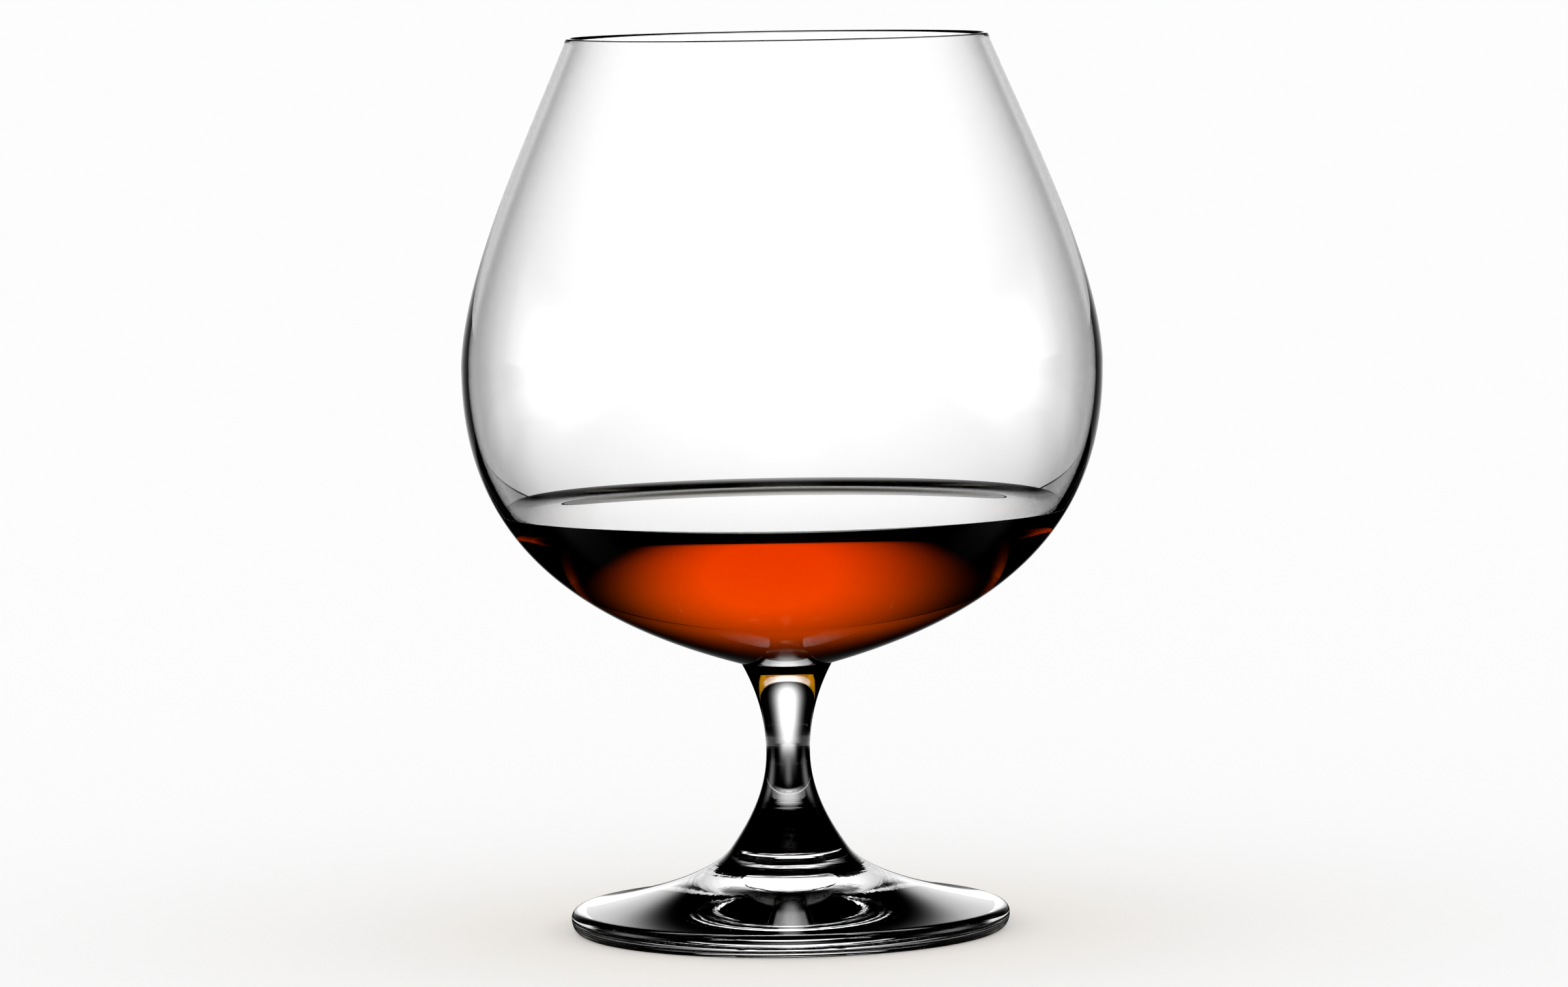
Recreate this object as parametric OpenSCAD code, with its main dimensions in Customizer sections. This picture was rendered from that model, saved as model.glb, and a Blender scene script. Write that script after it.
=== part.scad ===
// Brandy snifter with a pour of brandy: a thin blown bowl, a solid drawn stem and a pressed foot.
// The three glass pieces are stuck together hot, face to face, at two seams.
// Millimetres, +Z up, origin on the table under the middle of the foot.

/* [Bowl] */
// Height of the bowl, from the seam with the stem to the top of the rim
bowl_h = 108.6; // [100:0.2:116]
// Outside diameter of the rim
rim_d = 73.2; // [66:0.2:80]
// Lean of the wall at the rim, in degrees from upright
rim_lean = 23; // [16:1:28]
// Outside diameter of the belly, the widest ring of the bowl
belly_d = 111; // [100:0.5:120]
// Height of the belly above the seam with the stem
belly_h = 51.4; // [46:0.2:56]
// Rise of the underside where it leaves the stem, in degrees from level
base_rise = 15.8; // [12:0.2:20]
// Wall at the rim
rim_wall = 0.9; // [0.7:0.05:1.2]
// Wall at the belly
belly_wall = 1.2; // [1:0.05:1.6]
// Wall at the seam with the stem
base_wall = 3.2; // [2.4:0.1:4]

/* [Stem] */
// Height of the stem between its two seams
stem_h = 32.1; // [26:0.1:50]
// Diameter of the stem at the seam with the bowl
stem_top_d = 15.8; // [14:0.2:18]
// Lean of the stem's side at the seam with the bowl, in degrees from upright
stem_top_lean = 29; // [22:1:34]
// Least diameter of the stem
waist_d = 7.6; // [6.4:0.2:9]
// Height of the thinnest ring above the seam with the foot
waist_h = 16.5; // [14:0.1:18]

/* [Foot] */
// Height of the foot, from the table to the seam with the stem
foot_h = 14.3; // [12.5:0.1:17]
// Diameter of the foot
foot_d = 76.2; // [70:0.2:84]
// Diameter of the foot's neck at the seam with the stem
neck_d = 20; // [18:0.2:22]
// Lean of the neck's side at the seam, in degrees from upright
neck_lean = 34.5; // [30:0.5:40]
// Slope of the foot's upper face where it meets the edge, in degrees from level
brim_slope = 9.6; // [7:0.2:13]
// Thickness of the foot's rounded edge
edge_h = 4; // [3:0.1:5]
// Radius of the rounding on the upper side of the edge
edge_round = 1.6; // [1.2:0.1:1.9]
// Width of the flat ring that the glass stands on
ring_w = 1.6; // [1.2:0.1:2.4]
// Rise of the hollow under the foot, at its middle
hollow_h = 1.5; // [1:0.1:2.4]
// Diameter of the flat round spot in the middle of the hollow
spot_d = 13; // [10:0.5:18]
// Step round that flat spot
spot_step = 0.3; // [0.2:0.05:0.5]

/* [Brandy] */
// Height of the brandy above the seam between bowl and stem
fill_h = 25.6; // [18:0.2:40]

/* [Hidden] */

// Facets of a full turn
turn_fn = 180;
// Steps along a long curve and along a short one
long_steps = 26;
short_steps = 12;

// Heights above the table
stem_z = foot_h;
bowl_z = stem_z + stem_h;
belly_z = bowl_z + belly_h;
rim_z = bowl_z + bowl_h;
waist_z = stem_z + waist_h;
fill_z = bowl_z + fill_h;

// Radii from the diameters
rim_r = rim_d / 2;
belly_r = belly_d / 2;
stem_top_r = stem_top_d / 2;
waist_r = waist_d / 2;
neck_r = neck_d / 2;
foot_r = foot_d / 2;
spot_r = spot_d / 2;

// Points closer than this share of the belly's radius are one point
same_point_share = 0.00001;

// How far each end of a curve keeps its direction, as a share of the height or width that it spans
rim_pull_share = 0.333;
belly_up_share = 0.274;
belly_down_share = 0.543;
base_pull_share = 0.66;
stem_top_pull_share = 0.352;
waist_up_share = 0.355;
waist_down_share = 0.436;
stem_foot_pull_share = 0.264;
neck_pull_share = 0.2;
brim_pull_share = 0.41;

// A point [radius, height] on a curve with two ends and two handles
function curve_point(c, u) =
    pow(1 - u, 3) * c[0] + 3 * pow(1 - u, 2) * u * c[1] + 3 * (1 - u) * u * u * c[2] + pow(u, 3) * c[3];

// The direction of the curve there, of length one
function curve_way(c, u) =
    let (w = pow(1 - u, 2) * (c[1] - c[0]) + 2 * (1 - u) * u * (c[2] - c[1]) + u * u * (c[3] - c[2]))
    w / norm(w);

// The curve's points, pushed by a wall that grows from one end to the other, to the right of its way
function curve(c, steps, wall_start = 0, wall_end = 0) =
    [for (i = [0:steps])
        let (u = i / steps, w = curve_way(c, u), wall = wall_start + (wall_end - wall_start) * u * u)
        curve_point(c, u) + wall * [w[1], -w[0]]];

// The same points from the other end
function backwards(points) = [for (i = [len(points) - 1:-1:0]) points[i]];

// Stretches of points end to end, with each shared point taken once
function outline(points) =
    [for (i = [0:len(points) - 1])
        if (i == 0 || norm(points[i] - points[i - 1]) > same_point_share * belly_r) points[i]];

// Points of an arc about a centre, from one angle to another
function arc(centre, radius, from, to, steps) =
    [for (i = [0:steps])
        let (angle = from + (to - from) * i / steps)
        centre + radius * [cos(angle), sin(angle)]];

// The rounded lip, a half circle across the leaning wall
lip_r = rim_wall / 2;
lip_centre = [rim_r - lip_r, rim_z - lip_r];
lip = arc(lip_centre, lip_r, rim_lean, rim_lean + 180, short_steps);

// The outside of the bowl, down from the lip to the belly and on to the seam
shoulder_h = lip[0][1] - belly_z;
shoulder = [
    lip[0],
    lip[0] + rim_pull_share * shoulder_h * [sin(rim_lean), -cos(rim_lean)],
    [belly_r, belly_z + belly_up_share * shoulder_h],
    [belly_r, belly_z],
];
base_reach = belly_r - stem_top_r;
under_belly = [
    [belly_r, belly_z],
    [belly_r, belly_z - belly_down_share * belly_h],
    [stem_top_r, bowl_z] + base_pull_share * base_reach * [cos(base_rise), sin(base_rise)],
    [stem_top_r, bowl_z],
];
bowl_outside = concat(curve(shoulder, long_steps), curve(under_belly, long_steps));

// The inside, a growing wall away, closed by a shallow dish over the stem
shoulder_inside = curve(shoulder, long_steps, rim_wall, belly_wall);
under_belly_inside = curve(under_belly, long_steps, belly_wall, base_wall);
dish_edge = under_belly_inside[long_steps];
dish = [for (i = [1:short_steps])
    let (r = dish_edge[0] * (1 - i / short_steps))
    [r, dish_edge[1] - (dish_edge[0] - r * r / dish_edge[0]) * tan(base_rise) / 2]];

// The space inside the bowl below a level, as a closed outline about the axis
function filled_to(level) =
    let (
        wall = concat(under_belly_inside, dish),
        wet = [for (p = wall) if (p[1] < level) p],
        above = wall[len(wall) - len(wet) - 1],
        edge = above + (wet[0] - above) * (above[1] - level) / (above[1] - wet[0][1])
    )
    concat([[0, level], edge], wet);

// The stem's side, from the seam with the bowl to the waist and on to the seam with the foot
stem_upper_h = bowl_z - waist_z;
stem_side = concat(
    curve([
        [stem_top_r, bowl_z],
        [stem_top_r, bowl_z] - stem_top_pull_share * stem_upper_h * [sin(stem_top_lean), cos(stem_top_lean)],
        [waist_r, waist_z + waist_up_share * stem_upper_h],
        [waist_r, waist_z],
    ], short_steps * 2),
    curve([
        [waist_r, waist_z],
        [waist_r, waist_z - waist_down_share * waist_h],
        [neck_r, stem_z] + stem_foot_pull_share * waist_h * [-sin(neck_lean), cos(neck_lean)],
        [neck_r, stem_z],
    ], short_steps * 2)
);

// The foot's edge: a rounding into the sloping face above, and a fuller one down to the standing ring
brim_centre = [foot_r - edge_round, edge_h - edge_round];
brim = arc(brim_centre, edge_round, 90 - brim_slope, 0, short_steps);
heel_h = brim_centre[1];
heel = [for (i = [1:short_steps])
    let (angle = 90 * i / short_steps)
    brim_centre + [edge_round * cos(angle), -heel_h * sin(angle)]];

// The foot's upper face, from the neck to its edge
foot_reach = foot_r - neck_r;
foot_top = curve([
    [neck_r, stem_z],
    [neck_r, stem_z] + neck_pull_share * foot_reach * [sin(neck_lean), -cos(neck_lean)],
    brim[0] + brim_pull_share * foot_reach * [-cos(brim_slope), sin(brim_slope)],
    brim[0],
], long_steps);

// The hollow under the foot, a shallow cone from the standing ring up to the step round the flat spot
hollow = [
    [foot_r - edge_round - ring_w, 0],
    [spot_r, hollow_h - spot_step],
    [spot_r, hollow_h],
    [0, hollow_h],
];

module bowl() {
    color("aliceblue", 0.35)
        rotate_extrude($fn = turn_fn)
            polygon(outline(concat(
                [[0, bowl_z]],
                backwards(bowl_outside),
                lip,
                shoulder_inside,
                under_belly_inside,
                dish
            )));
}

module stem() {
    color("gainsboro", 0.6)
        rotate_extrude($fn = turn_fn)
            polygon(outline(concat([[0, bowl_z]], stem_side, [[0, stem_z]])));
}

module foot() {
    color("lightsteelblue", 0.6)
        rotate_extrude($fn = turn_fn)
            polygon(outline(concat(
                [[0, stem_z]],
                foot_top,
                brim,
                heel,
                hollow
            )));
}

module brandy() {
    color([0.85, 0.2, 0.02])
        rotate_extrude($fn = turn_fn)
            polygon(outline(filled_to(fill_z)));
}

bowl();
stem();
foot();
brandy();
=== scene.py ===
import math

import bpy
import numpy as np
from mathutils import Euler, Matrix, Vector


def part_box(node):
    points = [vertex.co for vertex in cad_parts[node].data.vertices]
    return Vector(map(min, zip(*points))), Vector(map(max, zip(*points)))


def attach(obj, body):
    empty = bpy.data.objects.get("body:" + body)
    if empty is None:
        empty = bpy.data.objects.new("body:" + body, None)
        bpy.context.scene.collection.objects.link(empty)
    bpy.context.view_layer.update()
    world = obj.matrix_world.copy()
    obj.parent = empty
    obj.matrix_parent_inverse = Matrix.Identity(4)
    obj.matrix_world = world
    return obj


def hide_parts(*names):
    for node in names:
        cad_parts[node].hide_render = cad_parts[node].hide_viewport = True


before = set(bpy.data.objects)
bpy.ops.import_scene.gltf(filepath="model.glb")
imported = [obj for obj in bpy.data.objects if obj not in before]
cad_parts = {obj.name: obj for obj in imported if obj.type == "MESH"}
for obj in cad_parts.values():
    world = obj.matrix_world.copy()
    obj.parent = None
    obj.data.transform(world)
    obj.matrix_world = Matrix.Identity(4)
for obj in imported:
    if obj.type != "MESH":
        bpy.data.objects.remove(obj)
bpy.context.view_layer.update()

MM = 0.001

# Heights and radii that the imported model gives
bowl_low, bowl_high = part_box("bowl")
stem_low, stem_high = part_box("stem")
bowl_z, rim_z = bowl_low.z, bowl_high.z
stem_z = stem_low.z
fill_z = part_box("brandy")[1].z
belly_r = bowl_high.x
neck_r = stem_high.x
foot_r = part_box("foot")[1].x

# The bowl's other sizes, as in the part's source
rim_r = 36.6 * MM
rim_lean = math.radians(23)
belly_h = 51.4 * MM
base_rise = math.radians(15.8)
rim_wall = 0.9 * MM
belly_wall = 1.2 * MM
base_wall = 3.2 * MM

# The stem's
stem_top_r = 7.9 * MM
stem_top_lean = math.radians(29)
waist_r = 3.8 * MM
waist_h = 16.5 * MM

# The foot's
neck_lean = math.radians(34.5)
brim_slope = math.radians(9.6)
edge_h = 4 * MM
edge_round = 1.6 * MM
ring_w = 1.6 * MM
hollow_h = 1.5 * MM
spot_r = 6.5 * MM
spot_step = 0.3 * MM

# How far each end of a curve keeps its direction, as a share of what it spans
rim_pull, belly_up, belly_down, base_pull = 0.333, 0.274, 0.543, 0.66
stem_top_pull, waist_up, waist_down, stem_foot_pull = 0.352, 0.355, 0.436, 0.264
neck_pull, brim_pull = 0.2, 0.41

# The brandy climbs the wall a little, within its capillary length. Its mesh keeps off the glass by a gap
# too thin to see
climb_h = 1.7 * MM
capillary = 1.8 * MM
gap = 0.02 * MM

# Fineness of the turned meshes
TURNS = 224
LONG, SHORT = 90, 16
SHARP_ANGLE = math.radians(28)
SAME_POINT = 1e-7


def point(radius, height):
    """A point of a section, or a step in it."""
    return np.array([radius, height])


def falling(lean):
    """A unit step outwards and down, at an angle from upright."""
    return point(math.sin(lean), -math.cos(lean))


def rising(slope):
    """A unit step outwards and up, at an angle from level."""
    return point(math.cos(slope), math.sin(slope))


def curve(start, start_handle, end_handle, end, steps, wall_start=0.0, wall_end=0.0):
    """Points of a curve with two handles, pushed to the right of its way by a growing wall."""
    made = []
    for u in np.linspace(0, 1, steps + 1):
        v = 1 - u
        at = v**3 * start + 3 * v * v * u * start_handle + 3 * v * u * u * end_handle + u**3 * end
        on = v * v * (start_handle - start) + 2 * v * u * (end_handle - start_handle)
        on = on + u * u * (end - end_handle)
        on = on / np.linalg.norm(on)
        wall = wall_start + (wall_end - wall_start) * u * u
        made.append(at + wall * point(on[1], -on[0]))
    return made


def arc(centre, radius, start, end, steps):
    """Points of an arc about a centre, from one angle to another."""
    return [centre + radius * rising(a) for a in np.linspace(start, end, steps + 1)]


# The bowl's section: the lip, the outside down to the seam, and the inside down to the axis
belly_z = bowl_z + belly_h
lip_r = rim_wall / 2
lip_centre = point(rim_r - lip_r, rim_z - lip_r)
lip = arc(lip_centre, lip_r, rim_lean, rim_lean + math.pi, SHORT)
shoulder_h = lip[0][1] - belly_z
shoulder = (
    lip[0],
    lip[0] + rim_pull * shoulder_h * falling(rim_lean),
    point(belly_r, belly_z + belly_up * shoulder_h),
    point(belly_r, belly_z),
)
under_belly = (
    point(belly_r, belly_z),
    point(belly_r, belly_z - belly_down * belly_h),
    point(stem_top_r, bowl_z) + base_pull * (belly_r - stem_top_r) * rising(base_rise),
    point(stem_top_r, bowl_z),
)
outside = curve(*shoulder, LONG) + curve(*under_belly, LONG)[1:]
inside = curve(*shoulder, LONG, rim_wall, belly_wall)
inside = inside + curve(*under_belly, LONG, belly_wall, base_wall)[1:]
dish_r, dish_z = inside[-1]
for step in range(1, SHORT + 1):
    r = dish_r * (1 - step / SHORT)
    inside.append(point(r, dish_z - (dish_r - r * r / dish_r) * math.tan(base_rise) / 2))

# The inside parts into a dry wall and a wet one at the brandy's contact line
contact_z = fill_z + climb_h
dry = [p for p in inside if p[1] >= contact_z]
wet = [p for p in inside if p[1] < contact_z]
share = (dry[-1][1] - contact_z) / (dry[-1][1] - wet[0][1])
contact = dry[-1] + share * (wet[0] - dry[-1])


def ring_faces(a, b):
    """The faces between two rings of vertices, where a ring of one is a point on the axis."""
    made = []
    for j in range(TURNS):
        k = (j + 1) % TURNS
        if len(a) == 1:
            made.append((a[0], b[k], b[j]))
        elif len(b) == 1:
            made.append((a[j], a[k], b[0]))
        else:
            made.append((a[j], a[k], b[k], b[j]))
    return made


def turned(name, stretches, materials):
    """A mesh turned about Z, from a list of (points, material index).

    Each stretch begins where the last one ends.
    """
    section, kinds = [stretches[0][0][0]], []
    for points, kind in stretches:
        for p in points:
            if np.linalg.norm(p - section[-1]) > SAME_POINT:
                section.append(p)
                kinds.append(kind)
    angles = np.linspace(0, 2 * math.pi, TURNS, endpoint=False)
    verts, rings = [], []
    for r, z in section:
        if r < SAME_POINT:
            rings.append([len(verts)])
            verts.append((0, 0, z))
        else:
            rings.append(list(range(len(verts), len(verts) + TURNS)))
            verts.extend((r * math.cos(a), r * math.sin(a), z) for a in angles)
    faces = [face for a, b in zip(rings, rings[1:]) for face in ring_faces(a, b)]
    mesh = bpy.data.meshes.new(name)
    mesh.from_pydata(verts, [], faces)
    for material in materials:
        mesh.materials.append(material)
    mesh.polygons.foreach_set("material_index", np.repeat(kinds, TURNS).astype(np.int32))
    mesh.polygons.foreach_set("use_smooth", [True] * len(faces))
    mesh.set_sharp_from_angle(angle=SHARP_ANGLE)
    mesh.update()
    piece = bpy.data.objects.new(name, mesh)
    bpy.context.collection.objects.link(piece)
    return piece


def math_node(tree, operation, *values):
    """One Math node. A value is a number or another node's output."""
    n = tree.nodes.new("ShaderNodeMath")
    n.operation = operation
    for i, v in enumerate(values):
        if isinstance(v, (int, float)):
            n.inputs[i].default_value = v
        else:
            tree.links.new(v, n.inputs[i])
    return n.outputs[0]


def times(tree, *values):
    """All the values multiplied."""
    made = values[0]
    for v in values[1:]:
        made = math_node(tree, "MULTIPLY", made, v)
    return made


def greatest(tree, *values):
    """The greatest of the values."""
    made = values[0]
    for v in values[1:]:
        made = math_node(tree, "MAXIMUM", made, v)
    return made


def grown(tree, value, share):
    """1 plus a share of the value."""
    return math_node(tree, "ADD", times(tree, value, share), 1.0)


def one_minus(tree, value):
    """1 less the value."""
    return math_node(tree, "SUBTRACT", 1.0, value)


def bell(tree, value, spread, power=2.0):
    """1 at 0, falling off over the spread, with a flatter top for a higher power."""
    raised = math_node(tree, "POWER", value, power)
    return math_node(tree, "EXPONENT", times(tree, raised, -1 / spread**power))


def length_of(tree, x, y):
    """How long a step of x and y is."""
    return math_node(tree, "SQRT", math_node(tree, "ADD", times(tree, x, x), times(tree, y, y)))


def axes_of(tree, vector):
    """The three numbers of a vector."""
    split = tree.nodes.new("ShaderNodeSeparateXYZ")
    tree.links.new(vector, split.inputs[0])
    return split.outputs


def ramp_node(tree, value, start, end, least, most):
    """A smooth step from one level to another while the value goes from start to end."""
    n = tree.nodes.new("ShaderNodeMapRange")
    n.interpolation_type = "SMOOTHSTEP"
    for name, v in (("From Min", start), ("From Max", end), ("To Min", least), ("To Max", most)):
        n.inputs[name].default_value = v
    tree.links.new(value, n.inputs["Value"])
    return n.outputs["Result"]


def noise_node(tree, vector, scale, detail):
    n = tree.nodes.new("ShaderNodeTexNoise")
    n.inputs["Scale"].default_value = scale
    n.inputs["Detail"].default_value = detail
    tree.links.new(vector, n.inputs["Vector"])
    return n.outputs["Fac"]


# Glass and brandy. A wave and a line are depths of relief. A ramp, here and for the stage, is
# (start, end, level at the start, level at the end)
GLASS_IOR, BRANDY_IOR, NO_CHANGE_IOR = 1.5, 1.36, 1.0
BRANDY_COLOUR, BRANDY_DENSITY = (0.972, 0.812, 0.0, 1), 220.0
WAVE, WAVES_PER_METRE, WAVE_DETAIL = 0.01 * MM, 26.0, 1.0
LINE, LINES_PER_METRE, LINE_DETAIL = 0.05 * MM, 900.0, 2.0
LINE_BREAKS_PER_METRE = 60.0
# Tool lines: on the neck between two heights, and under the foot from the spot outwards, fainter far out
NECK_LINES_FROM, NECK_LINES_TO = (8 * MM, 12 * MM, 0.0, 1.0), (18 * MM, 24 * MM, 1.0, 0.0)
SPOT_LINES_FROM, UNDERSIDE_LINES = (6.8 * MM, 7.6 * MM, 0.0, 1.0), (2 * MM, 3 * MM, 0.35, 0.0)
FAR_OUT_LINES = (14 * MM, 22 * MM, 1.0, 0.15)


def tool_lines(tree, place):
    """Fine lines round the axis, where the glass was turned against a tool."""
    x, y, z = axes_of(tree, place)
    out = length_of(tree, x, y)
    rings = times(tree, math_node(tree, "SUBTRACT", out, z), LINES_PER_METRE)
    stretched = tree.nodes.new("ShaderNodeCombineXYZ")
    along = [times(tree, v, LINE_BREAKS_PER_METRE) for v in (x, y)]
    for i, v in enumerate([rings] + along):
        tree.links.new(v, stretched.inputs[i])
    drawn = noise_node(tree, stretched.outputs[0], 1.0, LINE_DETAIL)
    neck = times(tree, ramp_node(tree, z, *NECK_LINES_FROM), ramp_node(tree, z, *NECK_LINES_TO))
    below = times(tree, ramp_node(tree, out, *SPOT_LINES_FROM), ramp_node(tree, z, *UNDERSIDE_LINES))
    below = times(tree, below, ramp_node(tree, out, *FAR_OUT_LINES))
    return times(tree, drawn, math_node(tree, "ADD", neck, below))


def set_glass(shader, ior):
    """Makes a Principled shader clear and smooth."""
    shader.inputs["Base Color"].default_value = (1, 1, 1, 1)
    shader.inputs["Roughness"].default_value = 0.0
    shader.inputs["Transmission Weight"].default_value = 1.0
    shader.inputs["IOR"].default_value = ior


def glass_material(name, ior, wave=0.0, line=0.0):
    """Clear glass, with a slow waviness and fine tool lines where a depth is given."""
    m = bpy.data.materials.new(name)
    m.use_nodes = True
    tree = m.node_tree
    shader = tree.nodes["Principled BSDF"]
    set_glass(shader, ior)
    if wave:
        place = tree.nodes.new("ShaderNodeTexCoord").outputs["Object"]
        height = times(tree, noise_node(tree, place, WAVES_PER_METRE, WAVE_DETAIL), wave)
        if line:
            height = math_node(tree, "ADD", height, times(tree, tool_lines(tree, place), line))
        bump = tree.nodes.new("ShaderNodeBump")
        bump.inputs["Strength"].default_value = 1.0
        bump.inputs["Distance"].default_value = 1.0
        tree.links.new(height, bump.inputs["Height"])
        tree.links.new(bump.outputs["Normal"], shader.inputs["Normal"])
    return m


def brandy_material(name):
    """Amber that bends light at its free surface only, because the wet glass does it elsewhere."""
    m = glass_material(name, BRANDY_IOR)
    nodes, links = m.node_tree.nodes, m.node_tree.links
    surface, output = nodes["Principled BSDF"], nodes["Material Output"]
    against_glass = nodes.new("ShaderNodeBsdfPrincipled")
    set_glass(against_glass, NO_CHANGE_IOR)
    flag = nodes.new("ShaderNodeAttribute")
    flag.attribute_name = "free_surface"
    mix = nodes.new("ShaderNodeMixShader")
    links.new(flag.outputs["Fac"], mix.inputs["Fac"])
    links.new(against_glass.outputs["BSDF"], mix.inputs[1])
    links.new(surface.outputs["BSDF"], mix.inputs[2])
    links.new(mix.outputs["Shader"], output.inputs["Surface"])
    absorb = nodes.new("ShaderNodeVolumeAbsorption")
    absorb.inputs["Color"].default_value = BRANDY_COLOUR
    absorb.inputs["Density"].default_value = BRANDY_DENSITY
    links.new(absorb.outputs["Volume"], output.inputs["Volume"])
    return m


clear = glass_material("clear_glass", GLASS_IOR, WAVE)
drawn_glass = glass_material("drawn_glass", GLASS_IOR, WAVE, LINE)
wetted = glass_material("wetted_glass", GLASS_IOR / BRANDY_IOR, WAVE)
seam = glass_material("fused_seam", NO_CHANGE_IOR)
amber = brandy_material("brandy")

# Which material of its piece a stretch of the section wears
CLEAR, WETTED, SEAM = 0, 1, 2
BODY, FREE_SURFACE = 0, 1


def make_bowl():
    return turned(
        "bowl_glass",
        [
            ([point(0, bowl_z), point(stem_top_r, bowl_z)], SEAM),
            (outside[::-1], CLEAR),
            (lip, CLEAR),
            (dry + [contact], CLEAR),
            (wet, WETTED),
        ],
        [clear, wetted, seam],
    )


def make_stem():
    waist_z = stem_z + waist_h
    upper_h = bowl_z - waist_z
    above_waist = curve(
        point(stem_top_r, bowl_z),
        point(stem_top_r, bowl_z) + stem_top_pull * upper_h * falling(-stem_top_lean),
        point(waist_r, waist_z + waist_up * upper_h),
        point(waist_r, waist_z),
        LONG // 2,
    )
    below_waist = curve(
        point(waist_r, waist_z),
        point(waist_r, waist_z - waist_down * waist_h),
        point(neck_r, stem_z) - stem_foot_pull * waist_h * falling(neck_lean),
        point(neck_r, stem_z),
        LONG // 2,
    )
    side = above_waist + below_waist[1:]
    return turned(
        "stem_glass",
        [
            ([point(0, stem_z), point(neck_r, stem_z)], SEAM),
            (side[::-1], CLEAR),
            ([point(0, bowl_z)], SEAM),
        ],
        [drawn_glass, wetted, seam],
    )


def make_foot():
    brim_centre = point(foot_r - edge_round, edge_h - edge_round)
    brim = arc(brim_centre, edge_round, math.pi / 2 - brim_slope, 0, SHORT)
    heel = [
        brim_centre + point(edge_round * math.cos(a), -brim_centre[1] * math.sin(a))
        for a in np.linspace(0, math.pi / 2, SHORT + 1)
    ]
    foot_reach = foot_r - neck_r
    top = curve(
        point(neck_r, stem_z),
        point(neck_r, stem_z) + neck_pull * foot_reach * falling(neck_lean),
        brim[0] - brim_pull * foot_reach * rising(-brim_slope),
        brim[0],
        LONG,
    )
    ring_in = point(foot_r - edge_round - ring_w, 0)
    step_foot = point(spot_r, hollow_h - spot_step)
    hollow = [ring_in + (step_foot - ring_in) * u for u in np.linspace(0, 1, LONG // 3)]
    return turned(
        "foot_glass",
        [
            ([point(0, hollow_h), point(spot_r, hollow_h)], CLEAR),
            (hollow[::-1], CLEAR),
            (heel[::-1], CLEAR),
            (brim[::-1], CLEAR),
            (top[::-1], CLEAR),
            ([point(0, stem_z)], SEAM),
        ],
        [drawn_glass, wetted, seam],
    )


def within_the_wall():
    """The wet wall's points, moved inwards by the gap, down to the axis."""
    wall = [contact] + wet
    made = []
    for i, p in enumerate(wall):
        before, after = wall[max(i - 1, 0)], wall[min(i + 1, len(wall) - 1)]
        along = (after - before) / np.linalg.norm(after - before)
        made.append(p + gap * point(along[1], -along[0]))
    made[0] = contact - point(gap, 0)
    made[-1][0] = 0
    return made


def flag_free_surface(mesh):
    """Turns the material index into the flag that the brandy's material reads, and drops the spare slot."""
    kinds = np.zeros(len(mesh.polygons), dtype=np.int32)
    mesh.polygons.foreach_get("material_index", kinds)
    flag = mesh.attributes.new("free_surface", "FLOAT", "FACE")
    flag.data.foreach_set("value", kinds.astype(float))
    mesh.materials.pop()
    mesh.polygons.foreach_set("material_index", np.zeros(len(kinds), dtype=np.int32))


def make_brandy():
    """The pour, whose level surface curls up where it meets the wall."""
    side = within_the_wall()
    level = [
        point(r, fill_z + climb_h * math.exp(-(contact[0] - r) / capillary))
        for r in contact[0] * (1 - np.linspace(0, 1, LONG) ** 2)
    ]
    level[0] = side[0]
    piece = turned("brandy_pour", [(side[::-1], BODY), (level, FREE_SURFACE)], [amber, amber])
    flag_free_surface(piece.data)
    return piece


bowl = make_bowl()
stem = make_stem()
foot = make_foot()
brandy = make_brandy()

for piece, node, slot in (
    (bowl, "bowl", "clear_glass"),
    (stem, "stem", "clear_glass"),
    (foot, "foot", "clear_glass"),
    (brandy, "brandy", "brandy"),
):
    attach(piece, "root")
    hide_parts(node)

# The camera, fitted to the photograph's outline: metres, radians, and a lens and sensor in millimetres
CAMERA_PLACE = (0, -1.2937, 0.183)
CAMERA_DOWN, CAMERA_ROLL = 0.0827, -0.0161
CAMERA_LENS, CAMERA_SENSOR, CAMERA_REACH = 172.1, 36, 100


def make_camera():
    camera_data = bpy.data.cameras.new("camera")
    camera_data.sensor_width = CAMERA_SENSOR
    camera_data.lens = CAMERA_LENS
    camera_data.clip_end = CAMERA_REACH
    made = bpy.data.objects.new("camera", camera_data)
    bpy.context.collection.objects.link(made)
    made.location = CAMERA_PLACE
    tilt = Euler((math.pi / 2 - CAMERA_DOWN, 0, 0)).to_matrix()
    roll = Euler((0, 0, CAMERA_ROLL)).to_matrix()
    made.rotation_euler = (tilt @ roll).to_euler()
    return made


bpy.context.scene.camera = make_camera()

# The stage. Light Path counts the glass faces that a ray has passed: 2 for one wall or for the stem or the
# foot alone, 4 for the empty bowl, more for the brandy. Its counts are whole, so a half tells two apart
ONE_WALL, EMPTY_BOWL, HALF = 2, 4, 0.5
WHITE = 0.98


def path_of(tree):
    return tree.nodes.new("ShaderNodeLightPath").outputs


def faces_passed(tree):
    return path_of(tree)["Transmission Depth"]


def only_empty_bowl(tree):
    """1 for what shows through both walls of the empty bowl."""
    return math_node(tree, "COMPARE", faces_passed(tree), EMPTY_BOWL, HALF)


def reflected(tree):
    """1 for what shows with a reflection on the way."""
    return math_node(tree, "GREATER_THAN", path_of(tree)["Glossy Depth"], HALF)


def seen_straight(tree):
    """1 for what shows without a reflection on the way."""
    return math_node(tree, "LESS_THAN", path_of(tree)["Glossy Depth"], HALF)


def scattered(tree):
    """1 for the light that falls on the floor."""
    return math_node(tree, "GREATER_THAN", path_of(tree)["Diffuse Depth"], HALF)


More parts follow.
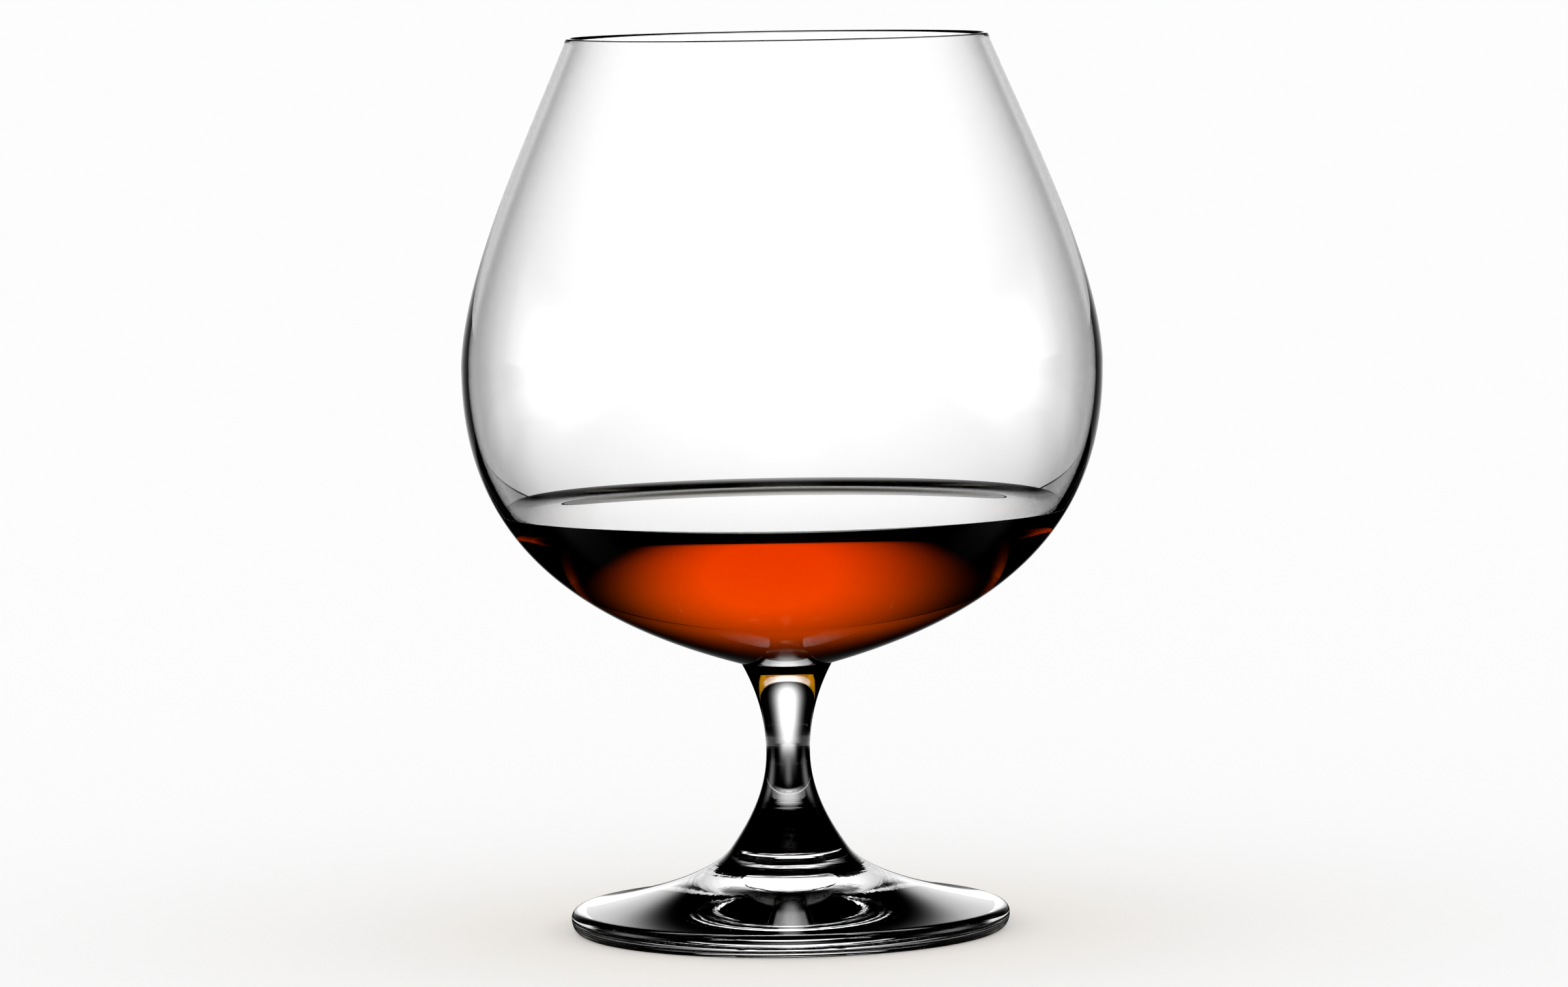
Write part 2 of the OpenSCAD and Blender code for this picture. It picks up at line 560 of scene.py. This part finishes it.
def seen_plainly(tree):
    """1 for what the camera sees and for what lights the floor, 0 for what the glass shows."""
    return greatest(tree, path_of(tree)["Is Camera Ray"], scattered(tree))


def turn_of(tree, x, y, away):
    """The sine of the turn from the nearest panel's middle, for a step of x and y that is away long."""
    lesser = math_node(tree, "MINIMUM", math_node(tree, "ABSOLUTE", x), math_node(tree, "ABSOLUTE", y))
    return math_node(tree, "DIVIDE", lesser, away)


def corner_of(tree, x, y, away_squared):
    """The sine of twice that turn: 0 at a panel's middle and 1 at a corner, half way between two panels."""
    doubled = times(tree, math_node(tree, "ABSOLUTE", times(tree, x, y)), 2.0)
    return math_node(tree, "DIVIDE", doubled, away_squared)


def dressed(name, build):
    """A stage material whose nodes build() makes. Cycles does not sample it as a lamp."""
    m = bpy.data.materials.new(name)
    m.use_nodes = True
    m.node_tree.nodes.remove(m.node_tree.nodes["Principled BSDF"])
    build(m.node_tree)
    m.cycles.emission_sampling = "NONE"
    return m


# The floor is pale. The glass shows light on it only in patches, which are ramps of the distance from the
# axis, in metres, and of the turn from the panels
FLOOR_REACH = 20
PANEL_AWAY = 0.5
NEAR_AXIS = 0.01 * MM
# An arm reaches out to each panel, one for the bowl and one for the solid glass
BOWL_FAN, BOWL_ARM = 0.24325, (0.22, 0.46, 0.0, 0.86)
SOLID_FAN, SOLID_FAN_POWER, SOLID_ARM = 0.22, 4.0, (0.05, 0.5, 0.0, 0.86)
# Corners near the foot, for all that shows through the bowl, and wider ones for the empty bowl
CLOSE_WEDGE = (0.86, 0.96, 0.0, 1.0)
CLOSE_RISE, CLOSE_END = (0.05, 0.068, 0.0, 1.1), (0.13, 0.16, 1.0, 0.0)
WIDE_WEDGE, WIDE_RISE = (0.84, 0.96, 0.0, 1.0), (0.11, 0.16, 0.0, 1.1)
# A broad ring, for the single wall at the mouth. Rays that set out near the axis, from the stem, are left
# out: their last stretch is about as long as the way to the axis
MOUTH_RISE, MOUTH_END = (0.2, 0.26, 0.0, 1.1), (1.2, 1.6, 1.0, 0.0)
MOUTH_START, STEM_START = (4.5 * MM, 11 * MM, 0.0, 1.0), 2 * MM
# A disc under the foot for the solid glass. Ahead of the panels it is dimmer, shows through the bowl too,
# and has a slim stretch that reaches further
UNDER, UNDER_DIM, UNDER_LEAST = (37 * MM, 41 * MM, 0.9, 0.0), 0.65, 0.4
AHEAD, AHEAD_FAN = (44 * MM, 50 * MM, 0.8, 0.0), 0.22627


def floor_glow(tree):
    """The light that the glass shows where it shows the floor."""
    x, y, _ = axes_of(tree, tree.nodes.new("ShaderNodeNewGeometry").outputs["Position"])
    away = greatest(tree, length_of(tree, x, y), NEAR_AXIS)
    turn = turn_of(tree, x, y, away)
    corner = corner_of(tree, x, y, times(tree, away, away))
    through_bowl = math_node(tree, "GREATER_THAN", faces_passed(tree), EMPTY_BOWL - HALF)
    through_solid = one_minus(tree, through_bowl)
    solid_fan = bell(tree, turn, SOLID_FAN, SOLID_FAN_POWER)

    bowl_arm = times(tree, bell(tree, turn, BOWL_FAN), through_bowl, ramp_node(tree, away, *BOWL_ARM))
    solid_arm = times(tree, solid_fan, through_solid, ramp_node(tree, away, *SOLID_ARM))
    before_panel = math_node(tree, "LESS_THAN", away, PANEL_AWAY)
    arms = times(tree, greatest(tree, bowl_arm, solid_arm), before_panel)

    close = times(tree, ramp_node(tree, corner, *CLOSE_WEDGE), ramp_node(tree, away, *CLOSE_RISE))
    close = times(tree, close, ramp_node(tree, away, *CLOSE_END), through_bowl)
    wide = times(tree, ramp_node(tree, corner, *WIDE_WEDGE), ramp_node(tree, away, *WIDE_RISE))
    wide = times(tree, wide, only_empty_bowl(tree))

    last_stretch = path_of(tree)["Ray Length"]
    start = math_node(tree, "SUBTRACT", math_node(tree, "ADD", away, STEM_START), last_stretch)
    start = ramp_node(tree, math_node(tree, "ABSOLUTE", start), *MOUTH_START)
    mouth = times(tree, ramp_node(tree, away, *MOUTH_RISE), ramp_node(tree, away, *MOUTH_END))
    mouth = times(tree, mouth, start, through_solid)

    under = times(tree, through_solid, one_minus(tree, times(tree, solid_fan, UNDER_DIM)))
    under = greatest(tree, under, times(tree, solid_fan, UNDER_LEAST))
    under = times(tree, under, ramp_node(tree, away, *UNDER))
    ahead = times(tree, bell(tree, turn, AHEAD_FAN), through_solid, ramp_node(tree, away, *AHEAD))

    patches = greatest(tree, close, wide, mouth, under, ahead)
    return greatest(tree, arms, times(tree, patches, seen_straight(tree)))


def floor_nodes(tree):
    """Pale and matt for the camera, and a glow for the glass."""
    nodes, links = tree.nodes, tree.links
    pale = nodes.new("ShaderNodeBsdfDiffuse")
    pale.inputs["Color"].default_value = (WHITE, WHITE, WHITE, 1)
    shown = nodes.new("ShaderNodeEmission")
    links.new(floor_glow(tree), shown.inputs["Strength"])
    mix = nodes.new("ShaderNodeMixShader")
    links.new(seen_plainly(tree), mix.inputs["Fac"])
    links.new(shown.outputs[0], mix.inputs[1])
    links.new(pale.outputs[0], mix.inputs[2])
    links.new(mix.outputs[0], nodes["Material Output"].inputs["Surface"])


def plane(name, corners, material):
    mesh = bpy.data.meshes.new(name)
    mesh.from_pydata(corners, [], [(0, 1, 2, 3)])
    mesh.materials.append(material)
    piece = bpy.data.objects.new(name, mesh)
    bpy.context.collection.objects.link(piece)
    return piece


def make_floor():
    far = FLOOR_REACH
    corners = [(-far, -far, 0), (far, -far, 0), (far, far, 0), (-far, far, 0)]
    plane("floor", corners, dressed("floor", floor_nodes))


make_floor()

# The world is white for the camera and for the floor. The glass shows light there only in patches too,
# which are ramps of how far up a ray points and of its turn
# Corners for all that shows through the bowl, and lower ones for the empty bowl
CORNER_WEDGE, CORNER_RISE = (0.8, 0.95, 0.0, 1.0), (0.26, 0.34, 0.0, 1.0)
LOW_WEDGE, LOW_TOP = (0.45, 0.8, 0.0, 0.6), (0.26, 0.34, 1.0, 0.0)
# High over the panels
HIGH, HIGH_FAN = (0.56, 0.64, 0.0, 0.9), (0.2, 0.34, 1.0, 0.0)
# Just over the horizon, for reflections in the bowl and in the foot
LOW_SKY, LOW_SKY_TOP = (0.0, 0.04, 0.0, 0.5), (0.12, 0.18, 1.0, 0.0)
FOOT_SKY, FOOT_SKY_TOP = (0.78, 0.93, 1.0, 0.0), (0.2, 0.3, 1.0, 0.0)
# A band half way up, beside the panels' middles, for the brandy
BAND, BAND_TOP, BAND_WEDGE = (0.5, 0.56, 0.0, 0.7), (0.78, 0.84, 1.0, 0.0), (0.2, 0.4, 0.0, 1.0)
# A hair over 1, so that the level part of a steep ray's way is never 0
STEEPEST = 1.0001


def sky_glow(tree):
    """The light that the glass shows where it shows the world."""
    east, north, up = axes_of(tree, tree.nodes.new("ShaderNodeTexCoord").outputs["Generated"])
    level_squared = math_node(tree, "SUBTRACT", STEEPEST, times(tree, up, up))
    turn = turn_of(tree, east, north, math_node(tree, "SQRT", level_squared))
    corner = corner_of(tree, east, north, level_squared)
    faces = faces_passed(tree)

    corners = times(tree, ramp_node(tree, corner, *CORNER_WEDGE), ramp_node(tree, up, *CORNER_RISE))
    corners = times(tree, corners, math_node(tree, "GREATER_THAN", faces, EMPTY_BOWL - HALF))
    low = times(tree, ramp_node(tree, corner, *LOW_WEDGE), ramp_node(tree, up, *LOW_TOP))
    low = times(tree, low, only_empty_bowl(tree))
    high = times(tree, ramp_node(tree, up, *HIGH), ramp_node(tree, turn, *HIGH_FAN))
    band = times(tree, ramp_node(tree, up, *BAND), ramp_node(tree, up, *BAND_TOP))
    band = times(tree, band, ramp_node(tree, corner, *BAND_WEDGE))
    band = times(tree, band, math_node(tree, "GREATER_THAN", faces, EMPTY_BOWL + HALF))
    straight = times(tree, greatest(tree, corners, low, high, band), seen_straight(tree))

    in_bowl = times(tree, ramp_node(tree, up, *LOW_SKY), ramp_node(tree, up, *LOW_SKY_TOP))
    in_bowl = times(tree, in_bowl, only_empty_bowl(tree))
    in_foot = times(tree, ramp_node(tree, corner, *FOOT_SKY), ramp_node(tree, up, *FOOT_SKY_TOP))
    in_foot = times(tree, in_foot, math_node(tree, "COMPARE", faces, ONE_WALL, HALF))
    mirrored = times(tree, greatest(tree, in_bowl, in_foot), reflected(tree))
    return greatest(tree, straight, mirrored)


def world_nodes(tree):
    """White for the camera and for the floor, and a glow for the glass."""
    path = path_of(tree)
    whole = greatest(tree, scattered(tree), path["Is Diffuse Ray"])
    seen = times(tree, path["Is Camera Ray"], WHITE)
    by_glass = greatest(tree, path["Is Transmission Ray"], path["Is Glossy Ray"])
    strength = greatest(tree, whole, seen, times(tree, sky_glow(tree), by_glass))
    background = tree.nodes["Background"]
    background.inputs["Color"].default_value = (1, 1, 1, 1)
    tree.links.new(strength, background.inputs["Strength"])


def make_world():
    world = bpy.data.worlds.new("studio")
    bpy.context.scene.world = world
    world.use_nodes = True
    world_nodes(world.node_tree)
    world.cycles.sampling_method = "NONE"


make_world()

# Soft lit panels stand on the floor on four sides, for the glass to show
SIDES = 4
PANEL_HALF, PANEL_HIGH = 0.3, 0.7
# The glow: the height of its middle, its spread to the sides, up and down, its level and its limit
GLOW_UP, GLOW_ASIDE, GLOW_RISE, GLOW_FALL = 0.11, 0.086, 0.1, 0.086
GLOW_TOP_POWER, GLOW_LEVEL, GLOW_MOST = 4.0, 1.95, 1.6
# Through the brandy it is slimmer and moved aside, and mirrored off the outside it is lower and brighter
BRANDY_SLIM, BRANDY_SHIFT = 0.13, -0.014
OUTER_LOW, OUTER_MORE = 0.2, 0.45
# Through the empty bowl it falls off more gently
GENTLE_POWER, GENTLE_MORE = -0.6, 0.03


def panel_glow(tree):
    """A soft glow round the panel's origin, as the glass shows it."""
    x, _, z = axes_of(tree, tree.nodes.new("ShaderNodeTexCoord").outputs["Object"])
    faces = faces_passed(tree)
    filled = math_node(tree, "GREATER_THAN", faces, EMPTY_BOWL + HALF)
    outer = math_node(tree, "LESS_THAN", faces, HALF)
    across = math_node(tree, "ADD", x, times(tree, filled, BRANDY_SHIFT))
    across = math_node(tree, "DIVIDE", across, GLOW_ASIDE)
    across = times(tree, across, across, grown(tree, filled, BRANDY_SLIM))
    up = math_node(tree, "DIVIDE", times(tree, z, grown(tree, outer, OUTER_LOW)), GLOW_RISE)
    up = math_node(tree, "POWER", greatest(tree, up, 0.0), GLOW_TOP_POWER)
    down = math_node(tree, "MINIMUM", math_node(tree, "DIVIDE", z, GLOW_FALL), 0.0)
    down = times(tree, down, down)
    off = math_node(tree, "ADD", math_node(tree, "ADD", across, up), down)
    glow = times(tree, math_node(tree, "EXPONENT", times(tree, off, -0.5)), GLOW_LEVEL)
    glow = math_node(tree, "MINIMUM", glow, GLOW_MOST)
    glow = times(tree, glow, grown(tree, outer, OUTER_MORE))
    gentle = times(tree, only_empty_bowl(tree), seen_straight(tree))
    glow = math_node(tree, "POWER", glow, grown(tree, gentle, GENTLE_POWER))
    return times(tree, glow, grown(tree, gentle, GENTLE_MORE))


def panel_nodes(tree):
    """A glow that the glass shows, on a plane that is clear to all else."""
    nodes, links = tree.nodes, tree.links
    lamp = nodes.new("ShaderNodeEmission")
    hidden = one_minus(tree, seen_plainly(tree))
    links.new(times(tree, hidden, panel_glow(tree)), lamp.inputs["Strength"])
    gone = nodes.new("ShaderNodeBsdfTransparent")
    both = nodes.new("ShaderNodeAddShader")
    links.new(lamp.outputs[0], both.inputs[0])
    links.new(gone.outputs[0], both.inputs[1])
    links.new(both.outputs[0], nodes["Material Output"].inputs["Surface"])


def stand_panel(side, material):
    """Stands a panel on one side of the glass, with its origin at the middle of its glow."""
    half, low, high = PANEL_HALF, -GLOW_UP, PANEL_HIGH
    corners = [(-half, 0, low), (half, 0, low), (half, 0, high), (-half, 0, high)]
    panel = plane(f"soft_panel_{side}", corners, material)
    turn = side * 2 * math.pi / SIDES
    panel.rotation_euler = (0, 0, turn)
    panel.location = (-math.sin(turn) * PANEL_AWAY, math.cos(turn) * PANEL_AWAY, GLOW_UP)
    panel.visible_camera = False
    panel.visible_diffuse = False
    panel.visible_shadow = False


panel_material = dressed("soft_panel", panel_nodes)
for side in range(SIDES):
    stand_panel(side, panel_material)

bpy.context.scene.view_settings.view_transform = "Standard"
